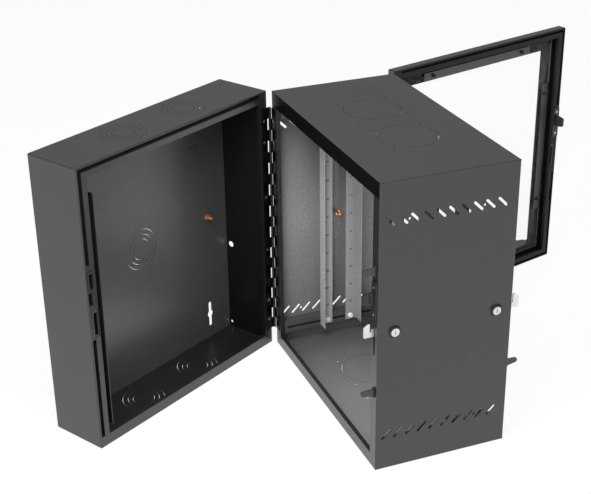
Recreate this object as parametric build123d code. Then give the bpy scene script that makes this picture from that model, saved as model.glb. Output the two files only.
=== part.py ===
from build123d import *
import math
import os

# Three-section swing-out wall cabinet for 19 inch network equipment.
# A rear pan is bolted to the wall, a centre section with the rack rails swings from the pan,
# and a window door swings from the front of the centre section. Both hinges are on the +X side.
# Origin: centre of the pan's back face. +Y points into the wall, -Y to the room, +Z up.
# Every piece is drawn with the cabinet shut and is then swung open to its rest place.

# Overall sizes, in mm
cabinet_width = 542.0
cabinet_height = 609.6
pan_depth = 130.0
centre_depth = 284.0
door_depth = 23.0
section_gap = 6.0
sheet = 1.5
bend_radius = 2.2

# How far the centre section and the door stand open at rest, in degrees
centre_open = 60.0
door_open = 105.0

# Folded rims round the pan and the door
hem_thick = 3.8
hem_depth = 8.0
pan_groove_width = 8.8
pan_groove_depth = 12.0
door_groove_width = 5.6
door_groove_depth = 8.0
pan_flange_width = 25.0
door_flange_width = 21.0
lip_depth = 9.0
strike_flat = (-55.0, 20.5)
socket_flat = (48.0, 106.0)
door_flat = (-70.0, 109.0)

# Long guard inside the pan's latch side that closes off the locks' space
guard_inset = 36.5
guard_setback = 1.0
guard_depth = 31.0
guard_top_gap = 60.5
guard_bottom_gap = 41.0

# Return flanges of the centre section
side_flange = 26.0
top_flange = 32.0
bottom_flange = 26.0

# Piano hinges: leaf, knuckles and pin
hinge_offset = 5.5
knuckle_length = 25.4
hinge_end_gap = 38.1
knuckle_radius = 3.2
knuckle_gap = 0.4
pin_radius = 1.6
pin_clearance = 0.05
leaf_thick = 1.2
leaf_width = 19.0
hinge_screw_first = 63.5
hinge_screw_step = 127.0
hinge_screw_end = 27.7
hinge_screw_inset = 11.0
hinge_screw_radius = 2.0
hinge_screw_head_radius = 3.6
hinge_screw_head = 1.0
hinge_screw_length = 7.0

# Knockouts: ring radii, slit and the bridges that hold each disc
conduit_rings = (45.0, 33.5, 23.0)
conduit_spacing = 170.0
wall_bridge_turn = 30.0
back_bridge_turn = 120.0
fan_ring = 59.5
fan_spacing = 162.0
fan_hole_spacing = 105.0
fan_hole_radius = 2.2
fan_setback = 4.0
slit_width = 0.8
bridge_width = 5.0

# Wall keyholes
keyhole_spacing_x = 406.4
keyhole_edge = 60.0
keyhole_length = 62.0
keyhole_slot_radius = 4.5
keyhole_head_radius = 8.5

# Two open holes low and high in the pan's hinge side
lanyard_hole_radius = 7.0
lanyard_hole_wall = 14.0
lanyard_hole_z = -88.0
drain_hole_radius = 3.2
drain_hole_wall = 8.0
drain_hole_z = -292.0

# Vents in the side panels
vent_count = 10
hinge_side_vent_count = 8
vent_pitch = 25.4
vent_slot_length = 27.5
vent_slot_width = 5.0
vent_edge = 78.0
vent_shift = 5.6
vent_hole_radius = 2.6
vent_hole_gaps = (2, 8)

# Key locks in the lock side panel
lock_inset = 34.5
lock_bezel_radius = 13.0
lock_bezel_thick = 4.5
lock_bezel_face = 10.5
lock_barrel_radius = 11.0
lock_barrel_length = 12.0
lock_bore_radius = 8.5
lock_clearance = 0.05
lock_fit = 0.15
lock_nut_radius = 15.5
lock_nut_thick = 5.0
lock_face_proud = 0.6
keyway_width = 1.8
keyway_height = 9.0
keyway_depth = 4.0
drive_square = 9.0
drive_clearance = 0.05

# Hook on the lock, measured from the flange it reaches through
hook_thick = 3.0
hook_plane = 14.5
hook_hub_radius = 11.0
hook_top = 6.8
hook_bottom = -10.3
hook_reach = 22.8
hook_prong_top = 18.6
hook_prong_flat = 4.0
hook_tip_top = 12.0
hook_notch_start = 6.6
hook_notch_width = 3.3
hook_notch_bottom = 0.8
hook_slot_clearance = 1.2
hook_screw_head_radius = 6.5
hook_screw_head = 3.2
hook_screw_radius = 2.5
hook_screw_length = 8.0

# Strike plate behind the rim that the hook drops over
strike_thick = 2.0
strike_outer = 6.0
strike_lip_clearance = 0.3
strike_top = 11.0
strike_bottom = -54.5
strike_slot_near = 1.9
strike_rib = 1.4
strike_slot_clearance = 0.4
strike_slot_bottom = -48.5
strike_window_outer = 9.0
strike_window_top = 8.0
strike_window_bottom = -51.5

# Guide fingers that steer the rims together
finger_thick = 2.5
finger_inset = 9.5
finger_rows = (128.0, -130.0)
rear_finger_reach = 29.0
front_finger_reach = 26.0
finger_root_height = 23.0
finger_nose_height = 10.0
finger_foot = 14.0
finger_clearance = 0.25
finger_window_height = 32.0
finger_window_clearance = 1.2

# Snap catch above each lock: plate and tongue on one side, socket on the other
catch_z = 70.0
catch_inset = 12.5
catch_plate_z = 66.0
catch_plate_width = 18.0
catch_plate_height = 76.0
catch_plate_thick = 3.5
catch_screw_spacing = 55.5
catch_screw_radius = 1.6
catch_screw_clearance = 0.1
catch_screw_head_radius = 3.0
catch_screw_head = 1.0
catch_screw_length = 6.0
tongue_thick = 5.0
tongue_lift = 1.0
tongue_reach = 26.5
tongue_root_height = 28.0
tongue_tip_height = 21.0
tongue_slit_width = 2.4
tongue_slit_height = 15.0
socket_frame_height = 46.0
socket_frame_outer = 3.6
socket_frame_inner = 24.6
socket_frame_thick = 1.0
socket_body_width = 15.0
socket_body_height = 42.0
socket_mouth_width = 8.6
socket_mouth_height = 33.0
socket_depth = 27.0
socket_wall = 2.0

# Rack rails and the slotted tracks they bolt to
rail_inset = 46.0
rack_hole_setback = 7.55
rack_unit = 44.45
rack_end_gap = 38.1
rack_hole_offsets = (6.35, 22.225, 38.1)
rack_hole_radius = 2.4
rail_thick = 2.0
rail_side_width = 29.0
rail_face_depth = 25.0
rail_end_gap = 35.3
rail_front_plane = -50.0
rail_rear_plane = 41.5
rail_side_slot_length = 8.0
rail_side_slot_width = 4.0
rail_side_hole_setback = 17.0
track_height = 29.0
track_base = 28.8
track_margin = 12.0
track_slot_height = 5.6
track_slot_margin = 7.0
rail_bolt_drop = 44.3
rail_bolt_radius = 2.5
rail_bolt_clearance = 0.25
rail_bolt_head_radius = 6.5
rail_bolt_head = 4.0
rail_bolt_length = 14.0
rail_nut_across = 10.0
rail_nut_thick = 5.0

# Grounding studs
stud_radius = 3.0
stud_length = 18.0
stud_flange_radius = 6.5
stud_flange = 1.5
stud_nut_across = 11.0
stud_nut_thick = 6.0
stud_nut_clearance = 0.05
stud_inset = 64.0
stud_centre_y = -7.0

# Door window, its clamp strips and their studs
window_margin_x = 58.0
window_margin_z = 52.0
pane_margin = 26.0
pane_thick = 3.0
clamp_width = 19.0
clamp_thick = 2.0
clamp_length = 336.0
clamp_inset = 40.0
clamp_stud_spacing = 282.0
clamp_stud_radius = 2.0
clamp_stud_length = 12.0
clamp_hole_clearance = 0.4
clamp_nut_across = 9.0
clamp_nut_thick = 4.0
thread_clearance = 0.05

# Places worked out from the sizes above
half_w = cabinet_width / 2
half_h = cabinet_height / 2
pan_rim = -pan_depth
centre_rear = pan_rim - section_gap
centre_front = centre_rear - centre_depth
centre_mid = (centre_rear + centre_front) / 2
door_rim = centre_front - section_gap
door_face = door_rim - door_depth
hinge_x = half_w + hinge_offset
rear_hinge_y = pan_rim - section_gap / 2
front_hinge_y = centre_front - section_gap / 2
knuckle_count = 2 * int((cabinet_height - 2 * hinge_end_gap) / (2 * knuckle_length) + 0.01) + 1
hinge_length = knuckle_length * knuckle_count
rack_opening = cabinet_width - 2 * rail_inset
rack_units = int((cabinet_height - 2 * rack_end_gap) / rack_unit + 0.01)
rail_bolt_z = half_h - rail_bolt_drop
stud_x = half_w - stud_inset
groove_in = hem_thick
hook_x = -half_w + hook_plane
catch_x = -half_w + catch_inset
finger_x = -half_w + finger_inset


def block(x, y, z):
    """A box between two values on each axis."""
    size = [abs(v[1] - v[0]) for v in (x, y, z)]
    middle = [(v[0] + v[1]) / 2 for v in (x, y, z)]
    return Pos(*middle) * Box(*size)


def rod_x(radius, x, y, z):
    """A cylinder along X between two x values."""
    return Pos((x[0] + x[1]) / 2, y, z) * Rot(0, 90, 0) * Cylinder(radius, abs(x[1] - x[0]))


def rod_y(radius, x, y, z):
    """A cylinder along Y between two y values."""
    return Pos(x, (y[0] + y[1]) / 2, z) * Rot(90, 0, 0) * Cylinder(radius, abs(y[1] - y[0]))


def rod_z(radius, x, y, z):
    """A cylinder along Z between two z values."""
    return Pos(x, y, (z[0] + z[1]) / 2) * Cylinder(radius, abs(z[1] - z[0]))


def hex_x(across, x, y, z):
    """A hexagonal bar along X."""
    face = Plane.YZ * RegularPolygon(across / 2, 6, major_radius=False)
    return Pos(x[0], y, z) * extrude(face, x[1] - x[0])


def hex_y(across, x, y, z):
    """A hexagonal bar along Y."""
    face = Plane.XZ * RegularPolygon(across / 2, 6, major_radius=False)
    return Pos(x, y[0], z) * extrude(face, y[0] - y[1])


def ring(outer, inner, y):
    """A rectangular ring in the XZ plane, given by its insets from the cabinet's outline."""
    x = (-half_w + outer, half_w - outer)
    z = (-half_h + outer, half_h - outer)
    hole_x = (-half_w + inner, half_w - inner)
    hole_z = (-half_h + inner, half_h - inner)
    return block(x, y, z) - block(hole_x, (y[0] - 1, y[1] + 1), hole_z)


def knockout(radii, turn, bridges):
    """Slits that leave a stack of concentric discs held by a few bridges each."""
    slits = Sketch()
    for step, radius in enumerate(radii):
        loop = Circle(radius + slit_width / 2) - Circle(radius - slit_width / 2)
        for arm in range(bridges):
            bridge = Pos(radius, 0) * Rectangle(bridge_width, bridge_width)
            loop -= Rot(0, 0, turn + 90 * step + 360 * arm / bridges) * bridge
        slits += loop
    return slits


def swing_centre(shape):
    """Open the centre section, with all that hangs on it, about the rear hinge."""
    return shape.rotate(Axis((hinge_x, rear_hinge_y, 0), (0, 0, 1)), centre_open)


def swing_door(shape):
    """Open the door about the front hinge, then with the centre section."""
    opened = shape.rotate(Axis((hinge_x, front_hinge_y, 0), (0, 0, 1)), door_open)
    return swing_centre(opened)


def keep_shut(shape):
    """The rear pan stays on the wall."""
    return shape


def rim(plane, inward, flange_width, groove_width, groove_depth, flats, plain_bottom):
    """The folded rim of the pan or the door: hem, groove, flange and inner lip."""
    def depth(near, far):
        return tuple(sorted((plane + inward * near, plane + inward * far)))
    inner = flange_width
    groove_out = groove_in + groove_width
    body = ring(0, inner, depth(0, sheet))
    body += ring(sheet, groove_in, depth(0, hem_depth))
    body += ring(inner - sheet, inner, depth(0, lip_depth))
    channel = ring(groove_in - sheet, groove_out + sheet, depth(0, groove_depth + sheet))
    groove = ring(groove_in, groove_out, depth(-1, groove_depth))
    reach = depth(-2, groove_depth + 4)
    plain = [block((half_w - inner, half_w + 1), reach, (-half_h, half_h))]
    plain += [block((-half_w, -half_w + inner), reach, flat) for flat in flats]
    if plain_bottom:
        plain.append(block((-half_w, half_w), reach, (-half_h, -half_h + inner)))
    body += channel - plain
    body -= groove - plain
    window = finger_window_height / 2
    gap = finger_thick / 2 + finger_window_clearance
    for row in finger_rows:
        floor = (-half_w + groove_in, max(-half_w + groove_out, finger_x + gap))
        body -= block(floor, depth(-1, groove_depth + 4), (row - window, row + window))
    strike_x = (-half_w + strike_window_outer, -half_w + inner - sheet)
    return body - block(strike_x, depth(-1, sheet + 0.5), (strike_window_bottom, strike_window_top))


def socket_cut(depth):
    """Opening in a flange for the catch socket's body."""
    half = socket_body_width / 2
    z = (catch_z - socket_body_height / 2, catch_z + socket_body_height / 2)
    return block((catch_x - half, catch_x + half), depth, z)


def pan_walls():
    """The whole pan as one fold, before it is parted into its sheets."""
    shell = block((-half_w, half_w), (pan_rim, 0), (-half_h, half_h))
    long_edges = shell.edges().filter_by(Axis.Y)
    front_edges = shell.faces().sort_by(Axis.Y)[0].edges()
    shell = fillet(long_edges + front_edges, bend_radius)
    inside = (-half_w + sheet, half_w - sheet)
    shell -= block(inside, (pan_rim - 1, -sheet), (-half_h + sheet, half_h - sheet))
    front = block((-half_w, half_w), (pan_rim, 0), (-half_h, half_h))
    front = fillet(front.edges().filter_by(Axis.Y) + front.faces().sort_by(Axis.Y)[0].edges(), bend_radius)
    flats = (strike_flat, socket_flat)
    folded = rim(pan_rim, 1, pan_flange_width, pan_groove_width, pan_groove_depth, flats, True)
    shell += folded & front
    shell -= socket_cut((pan_rim - 1, pan_rim + sheet + 1))
    return shell


def pan_cuts():
    """Knockouts, keyholes and holes in the pan's walls."""
    cuts = []
    middle = -pan_depth / 2
    for x in (-conduit_spacing / 2, conduit_spacing / 2):
        flat = Pos(x, middle, 0) * knockout(conduit_rings, wall_bridge_turn, 2)
        for z in (-half_h, half_h):
            cuts.append(extrude(Pos(0, 0, z) * flat, 2 * sheet, both=True))
    back = Plane.XZ * knockout(conduit_rings, back_bridge_turn, 2)
    cuts.append(extrude(back, 2 * sheet, both=True))
    for x in (-keyhole_spacing_x / 2, keyhole_spacing_x / 2):
        for z in (-half_h + keyhole_edge, half_h - keyhole_edge):
            slot = SlotOverall(keyhole_length, 2 * keyhole_slot_radius, rotation=90)
            face = Plane.XZ * (slot + Circle(keyhole_head_radius))
            cuts.append(Pos(x, 0, z) * extrude(face, 2 * sheet, both=True))
    wall = (half_w - 2 * sheet, half_w + sheet)
    cuts.append(rod_x(lanyard_hole_radius, wall, -lanyard_hole_wall, lanyard_hole_z))
    cuts.append(rod_x(drain_hole_radius, wall, -drain_hole_wall, drain_hole_z))
    cuts.append(rod_y(stud_radius, stud_x, (-2 * sheet, sheet), 0))
    return cuts + hinge_screw_holes(pan_rim)


def pan_sheets():
    """The pan parted into its back and four walls, each with its own stretch of rim."""
    whole = pan_walls() - pan_cuts()
    deep = (pan_rim - 1, -sheet)
    x_in = half_w - pan_flange_width
    z_in = half_h - pan_flange_width
    top = block((-half_w + sheet, half_w - sheet), deep, (z_in, half_h + 1))
    bottom = block((-half_w + sheet, half_w - sheet), deep, (-half_h - 1, -z_in))
    walls = {"rear_pan_back": block((-half_w, half_w), (-sheet, 1), (-half_h - 1, half_h + 1))}
    walls["rear_pan_top"] = top
    walls["rear_pan_bottom"] = bottom
    for name, side in (("rear_pan_lock_side", -1), ("rear_pan_hinge_side", 1)):
        skin = block((side * (half_w - sheet), side * (half_w + 1)), deep, (-half_h - 1, half_h + 1))
        edge = block((side * x_in, side * (half_w - sheet)), deep, (-z_in, z_in))
        walls[name] = skin + edge
    parts = {name: whole & zone for name, zone in walls.items()}
    parts["rear_pan_lock_side"] += latch_guard()
    return parts


def latch_guard():
    """Angle along the lock side, behind the flange, with its long leg turned to the room."""
    outer = -half_w + guard_inset
    back = pan_rim + guard_depth
    z = (-half_h + guard_bottom_gap, half_h - guard_top_gap)
    leg = block((outer, outer + sheet), (pan_rim + guard_setback, back), z)
    return leg + block((-half_w + sheet / 2, outer + sheet), (back - sheet, back), z)


def hinge_rows():
    """Heights of the screws along a hinge leaf."""
    rows = (hinge_screw_first, hinge_screw_first + hinge_screw_step, hinge_length / 2 - hinge_screw_end)
    return [sign * row for row in rows for sign in (-1, 1)]


def hinge_screw_holes(plane):
    """Screw holes through a hinge side flange at one of the rims."""
    x = half_w - hinge_screw_inset
    through = (plane - 3 * sheet, plane + 3 * sheet)
    return [rod_y(hinge_screw_radius, x, through, row) for row in hinge_rows()]


def hinge_leaf(axis_y, side, odd):
    """One leaf of a piano hinge. side is +1 where the leaf lies on the +Y side of the pin."""
    far = side * section_gap / 2
    near = far - side * leaf_thick
    thick = tuple(sorted((axis_y + near, axis_y + far)))
    low = -hinge_length / 2
    plate = block((half_w - leaf_width, half_w - 0.5), thick, (low, -low))
    x = half_w - hinge_screw_inset
    for row in hinge_rows():
        plate -= rod_y(hinge_screw_radius, x, (axis_y, axis_y + 2 * far), row)
    for index in range(odd, knuckle_count, 2):
        z = (low + index * knuckle_length, low + (index + 1) * knuckle_length)
        z = (z[0] + knuckle_gap / 2, z[1] - knuckle_gap / 2)
        plate += block((half_w - 1, hinge_x), thick, z)
        plate += rod_z(knuckle_radius, hinge_x, axis_y, z)
    return plate - rod_z(pin_radius + pin_clearance, hinge_x, axis_y, (low - 1, 1 - low))


def hinge_pin(axis_y):
    """The long pin of one piano hinge."""
    pin = rod_z(pin_radius, hinge_x, axis_y, (-hinge_length / 2, hinge_length / 2))
    return chamfer(pin.edges(), pin_radius / 3)


def hinge_screws(axis_y, side):
    """Screws that hold one hinge leaf, with their heads in the gap between the sections."""
    seat = axis_y + side * (section_gap / 2 - leaf_thick)
    x = half_w - hinge_screw_inset
    screws = []
    for row in hinge_rows():
        head = rod_y(hinge_screw_head_radius, x, (seat, seat - side * hinge_screw_head), row)
        shank = rod_y(hinge_screw_radius - 0.1, x, (seat, seat + side * hinge_screw_length), row)
        screws.append(head + shank)
    return screws


def centre_side(side):
    """A side sheet of the centre section with its two return flanges and their lips."""
    outer = side * half_w
    flange_in = side * (half_w - side_flange)
    body = block((outer, outer - side * sheet), (centre_front, centre_rear), (-half_h + sheet, half_h - sheet))
    z = (-half_h + bottom_flange, half_h - top_flange)
    for plane, inward in ((centre_rear, -1), (centre_front, 1)):
        body += block((outer, flange_in), (plane, plane + inward * sheet), z)
        body += block((flange_in, flange_in + side * sheet), (plane, plane + inward * lip_depth), z)
    bends = body.edges().filter_by(Axis.Z).filter_by_position(Axis.X, outer - 0.1, outer + 0.1)
    body = fillet(bends, bend_radius)
    return body - vents(side)


def vents(side):
    """Slanted vent slots in a row near the top and the bottom of a side sheet."""
    cuts = []
    for z, turn in ((half_h - vent_edge, 45), (-half_h + vent_edge, -45)):
        for index in range(vent_count if side < 0 else hinge_side_vent_count):
            y = centre_mid + vent_shift + (vent_count - 1 - 2 * index) / 2 * vent_pitch
            slot = Plane.YZ * SlotOverall(vent_slot_length, vent_slot_width, rotation=turn)
            cuts.append(Pos(side * half_w, y, z) * extrude(slot, 2 * sheet, both=True))
            if index + 1 in vent_hole_gaps:
                x = (side * half_w - 2 * sheet, side * half_w + 2 * sheet)
                cuts.append(rod_x(vent_hole_radius, x, y - vent_pitch / 2, z))
    return cuts


def centre_lid(level):
    """The top (level +1) or floor (level -1) sheet with its front and rear flanges."""
    flange = top_flange if level > 0 else bottom_flange
    outer = level * half_h
    flange_in = outer - level * flange
    body = block((-half_w, half_w), (centre_front, centre_rear), (outer, outer - level * sheet))
    x = (-half_w + sheet, half_w - sheet)
    for plane, inward in ((centre_rear, -1), (centre_front, 1)):
        body += block(x, (plane, plane + inward * sheet), (outer, flange_in))
        lip_z = (flange_in, flange_in + level * sheet)
        body += block((x[0] + side_flange, x[1] - side_flange), (plane, plane + inward * lip_depth), lip_z)
    bends = body.edges().filter_by(Axis.X).filter_by_position(Axis.Z, outer - 0.1, outer + 0.1)
    bends += body.edges().filter_by(Axis.Y).filter_by_position(Axis.Z, outer - 0.1, outer + 0.1)
    body = fillet(bends, sheet - 0.2)
    cuts = []
    for x in (-fan_spacing / 2, fan_spacing / 2):
        y = centre_mid - fan_setback
        cuts.append(Pos(x, y, outer) * extrude(knockout((fan_ring,), 45, 4), 2 * sheet, both=True))
        for dx in (-fan_hole_spacing / 2, fan_hole_spacing / 2):
            for dy in (-fan_hole_spacing / 2, fan_hole_spacing / 2):
                z = (outer - 2 * sheet, outer + 2 * sheet)
                cuts.append(rod_z(fan_hole_radius, x + dx, y + dy, z))
    return body - cuts


def lock_y(end):
    """Where a lock's axis lies: +1 for the rear lock, -1 for the front one."""
    plane = centre_rear if end > 0 else centre_front
    return plane - end * lock_inset


def lock_side_cuts():
    """Holes for locks, hooks, fingers and catches in the lock side sheet."""
    cuts = []
    for end, plane in ((1, centre_rear), (-1, centre_front)):
        wall = (-half_w - sheet, -half_w + 2 * sheet)
        cuts.append(rod_x(lock_barrel_radius + lock_fit, wall, lock_y(end), 0))
        through = (plane + end, plane - end * (sheet + 1))
        reach = math.hypot(hook_reach + lock_inset, hook_prong_top)
        slot_bottom = -math.sqrt(reach**2 - (lock_inset - sheet) ** 2) - hook_slot_clearance
        half = hook_thick / 2 + hook_slot_clearance
        slot_z = (slot_bottom, hook_top + hook_slot_clearance)
        cuts.append(block((hook_x - half, hook_x + half), through, slot_z))
        for row in finger_rows:
            half = finger_thick / 2 + finger_clearance
            z = finger_root_height / 2 + finger_clearance
            cuts.append(block((finger_x - half, finger_x + half), through, (row - z, row + z)))
    screw = catch_screw_radius + catch_screw_clearance
    for z in catch_screw_rows():
        cuts.append(rod_y(screw, catch_x, (centre_rear + 1, centre_rear - 2 * sheet), z))
    cuts.append(socket_cut((centre_front - 1, centre_front + sheet + 1)))
    return cuts


def fingers(end):
    """Two guide fingers with a rounded nose, each on a foot behind the flange."""
    plane = centre_rear if end > 0 else centre_front
    group = []
    reach = rear_finger_reach if end > 0 else front_finger_reach
    for row in finger_rows:
        root = finger_root_height / 2
        nose = finger_nose_height / 2
        line = Polyline((-sheet, root), (1.5, root), (7, root - 4.5), (reach - nose, nose + 1.5))
        arc = ThreePointArc((reach - nose, nose + 1.5), (reach, 1), (reach - nose, 0.5 - nose))
        back = Polyline((reach - nose, 0.5 - nose), (7, 4 - root), (1.5, -root), (-sheet, -root), (-sheet, root))
        outline = make_face(Curve() + [line, arc, back])
        blade = extrude(Plane.YZ * outline, finger_thick / 2, both=True)
        if end < 0:
            blade = blade.mirror(Plane.XZ)
        blade = Pos(finger_x, plane, row) * blade
        inside = plane - end * sheet
        foot = block((finger_x - finger_thick / 2, finger_x + finger_foot), (inside, inside - end * sheet), (row - root, row + root))
        group.append(blade + foot)
    return group


def catch_screw_rows():
    """Heights of the two screws of a catch plate."""
    return (catch_plate_z - catch_screw_spacing / 2, catch_plate_z + catch_screw_spacing / 2)


def catch(plane, out):
    """Snap catch: a screwed plate with a tapered, slit tongue that points the way out says."""
    z = (catch_plate_z - catch_plate_height / 2, catch_plate_z + catch_plate_height / 2)
    x = (catch_x - catch_plate_width / 2, catch_x + catch_plate_width / 2)
    plate = block(x, (plane, plane + out * catch_plate_thick), z)
    plate = fillet(plate.edges().filter_by(Axis.Y), 2.5)
    root = tongue_root_height / 2
    tip = tongue_tip_height / 2
    reach = tongue_reach
    shoulder = reach * 0.45
    outline = Polygon(
        (0, -root), (shoulder, 1 - root), (reach - 2, -tip), (reach, 2 - tip),
        (reach, tip - 2), (reach - 2, tip), (shoulder, root - 1), (0, root),
        align=None)
    outline -= Pos(shoulder, 0) * SlotOverall(tongue_slit_height, tongue_slit_width, rotation=90)
    tongue = extrude(Plane.YZ * outline, tongue_thick / 2, both=True)
    if out < 0:
        tongue = tongue.mirror(Plane.XZ)
    body = plate + Pos(catch_x, plane, catch_z + tongue_lift) * tongue
    hole = catch_screw_radius + catch_screw_clearance
    for z in catch_screw_rows():
        body -= rod_y(hole, catch_x, (plane - 1, plane + out * (catch_plate_thick + 1)), z)
    return body


def catch_screws(plane, out):
    """Two pan head screws that hold a catch plate."""
    seat = plane + out * catch_plate_thick
    group = []
    for z in catch_screw_rows():
        head = rod_y(catch_screw_head_radius, catch_x, (seat, seat + out * catch_screw_head), z)
        shank = rod_y(catch_screw_radius, catch_x, (seat, plane - out * catch_screw_length), z)
        group.append(head + shank)
    return group


def catch_socket(plane, out):
    """Moulded socket set in a flange, with a framed mouth for the tongue."""
    half_frame = socket_frame_height / 2
    x = (-half_w + socket_frame_outer, -half_w + socket_frame_inner)
    body = block(x, (plane, plane + out * socket_frame_thick), (catch_z - half_frame, catch_z + half_frame))
    half = socket_body_width / 2
    z = (catch_z - socket_body_height / 2, catch_z + socket_body_height / 2)
    body += block((catch_x - half, catch_x + half), (plane, plane - out * socket_depth), z)
    mouth = (catch_x - socket_mouth_width / 2, catch_x + socket_mouth_width / 2)
    z = (catch_z - socket_mouth_height / 2, catch_z + socket_mouth_height / 2)
    y = (plane + 2 * out, plane - out * (socket_depth - socket_wall))
    return body - block(mouth, y, z)


def strike(plane, inward, flange_width):
    """Strike plate behind a rim, with the slot that the hook reaches through."""
    y = (plane + inward * sheet, plane + inward * (sheet + strike_thick))
    inner = flange_width - sheet - strike_lip_clearance
    body = block((-half_w + strike_outer, -half_w + inner), y, (strike_bottom, strike_top))
    through = (y[0] - inward, y[1] + inward)
    z = (strike_slot_bottom, hook_notch_bottom + strike_slot_clearance)
    return body - block((hook_x - strike_slot_near, -half_w + inner - strike_rib), through, z)


def lock_barrel(end):
    """Fixed barrel of a key lock with its round bezel."""
    y = lock_y(end)
    face = -half_w - lock_bezel_thick
    cone = Cone(lock_bezel_radius, lock_bezel_face, lock_bezel_thick)
    bezel = Pos(-half_w - lock_bezel_thick / 2, y, 0) * Rot(0, -90, 0) * cone
    body = bezel + rod_x(lock_barrel_radius, (-half_w, -half_w + lock_barrel_length), y, 0)
    return body - rod_x(lock_bore_radius, (face - 1, -half_w + lock_barrel_length + 1), y, 0)


def lock_nut(end):
    """Hexagonal nut that clamps the barrel to the side sheet."""
    x = (-half_w + sheet, -half_w + sheet + lock_nut_thick)
    body = hex_x(2 * lock_nut_radius, x, lock_y(end), 0)
    return body - rod_x(lock_barrel_radius + lock_clearance, (x[0] - 1, x[1] + 1), lock_y(end), 0)


def lock_plug(end):
    """Turning plug with a keyway in its face and a square drive for the hook."""
    y = lock_y(end)
    face = -half_w - lock_bezel_thick - lock_face_proud
    back = hook_x - hook_thick / 2
    body = rod_x(lock_bore_radius - lock_clearance, (face, back), y, 0)
    half = drive_square / 2
    body += block((back, hook_x + hook_thick / 2), (y - half, y + half), (-half, half))
    slot = block((face - 1, face + keyway_depth), (y - keyway_width / 2, y + keyway_width / 2), (-keyway_height / 2, keyway_height / 2))
    bore = hook_screw_radius + thread_clearance
    hole = rod_x(bore, (hook_x + hook_thick - hook_screw_length, hook_x + hook_thick), y, 0)
    return body - slot - hole


def lock_hook(end):
    """Hook arm that reaches through the flange, with a prong and a notch for the strike."""
    base = lock_inset
    tip = base + hook_reach
    notch = (base + hook_notch_start, base + hook_notch_start + hook_notch_width)
    outline = Polygon(
        (0, hook_bottom), (tip - 2, hook_bottom), (tip, hook_bottom + 2), (tip, hook_tip_top),
        (notch[1] + hook_prong_flat, hook_prong_top), (notch[1], hook_prong_top),
        (notch[1], hook_notch_bottom), (notch[0], hook_notch_bottom), (notch[0], hook_top), (0, hook_top),
        align=None)
    outline += Circle(hook_hub_radius)
    outline -= Rectangle(drive_square + 2 * drive_clearance, drive_square + 2 * drive_clearance)
    plate = extrude(Plane.YZ * outline, hook_thick / 2, both=True)
    if end < 0:
        plate = plate.mirror(Plane.XZ)
    return Pos(hook_x, lock_y(end), 0) * plate


def hook_screw(end):
    """Screw that keeps the hook on the plug."""
    y = lock_y(end)
    seat = hook_x + hook_thick / 2
    head = rod_x(hook_screw_head_radius, (seat, seat + hook_screw_head), y, 0)
    head = fillet(head.edges().sort_by(Axis.X)[-1], 1)
    return head + rod_x(hook_screw_radius, (seat, seat - hook_screw_length + hook_thick), y, 0)


def rail(side, facing):
    """An angle rail: side +1 on the hinge side, facing -1 with its face to the front."""
    plane = centre_mid + (rail_front_plane if facing < 0 else rail_rear_plane)
    inner = side * rack_opening / 2
    outer = inner + side * rail_face_depth
    z = (-half_h + rail_end_gap, half_h - rail_end_gap)
    body = block((inner, outer), (plane, plane - facing * rail_thick), z)
    body += block((outer, outer - side * rail_thick), (plane, plane - facing * rail_side_width), z)
    cuts = []
    x = inner + side * rack_hole_setback
    for unit in range(rack_units):
        base = (unit - rack_units / 2) * rack_unit
        for offset in rack_hole_offsets:
            cuts.append(rod_y(rack_hole_radius, x, (plane - 2 * rail_thick, plane + 2 * rail_thick), base + offset))
    y = plane - facing * rail_side_hole_setback
    for step in range(1 - rack_units // 2, rack_units // 2):
        slot = Plane.YZ * SlotOverall(rail_side_slot_length, rail_side_slot_width)
        cuts.append(Pos(outer, y, step * rack_unit) * extrude(slot, 2 * rail_thick, both=True))
    for z in (-rail_bolt_z, rail_bolt_z):
        wall = (outer - side * 2 * rail_thick, outer + side)
        cuts.append(rod_x(rail_bolt_radius + rail_bolt_clearance, wall, y, z))
    return body - cuts


def track(side, level):
    """Slotted track along a side wall that carries the rails' ends."""
    wall = side * (half_w - sheet)
    face = side * (rack_opening / 2 + rail_face_depth)
    y = (centre_front + track_margin, centre_rear - track_margin)
    low = half_h - sheet - track_base - track_height
    z = (level * low, level * (low + track_height))
    body = block((face, face + side * sheet), y, z)
    for edge in (z[0], z[1] - level * sheet):
        body += block((face, wall), y, (edge, edge + level * sheet))
    slot_y = (y[0] + track_slot_margin, y[1] - track_slot_margin)
    half = track_slot_height / 2
    slot = block((face - side, face + 2 * side * sheet), slot_y, (level * rail_bolt_z - half, level * rail_bolt_z + half))
    slot = fillet(slot.edges().filter_by(Axis.X), half - 0.1)
    return body - slot


def rail_fasteners():
    """Bolts and nuts that hold the four rails to their tracks."""
    bolts = []
    nuts = []
    for side in (-1, 1):
        seat = side * (rack_opening / 2 + rail_face_depth - rail_thick)
        back = seat + side * (rail_thick + sheet)
        for facing, plane in ((-1, rail_front_plane), (1, rail_rear_plane)):
            y = centre_mid + plane - facing * rail_side_hole_setback
            for z in (-rail_bolt_z, rail_bolt_z):
                head = rod_x(rail_bolt_head_radius, tuple(sorted((seat, seat - side * rail_bolt_head))), y, z)
                crown = head.edges().sort_by(Axis.X)[0 if side > 0 else -1]
                head = fillet(crown, rail_bolt_head / 2)
                shank = rod_x(rail_bolt_radius, (seat, seat + side * rail_bolt_length), y, z)
                bolts.append(head + shank)
                nut = hex_x(rail_nut_across, (back, back + side * rail_nut_thick), y, z)
                nuts.append(nut - rod_x(rail_bolt_radius + thread_clearance, (back - side, back + side * (rail_nut_thick + 1)), y, z))
    return bolts, nuts


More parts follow.
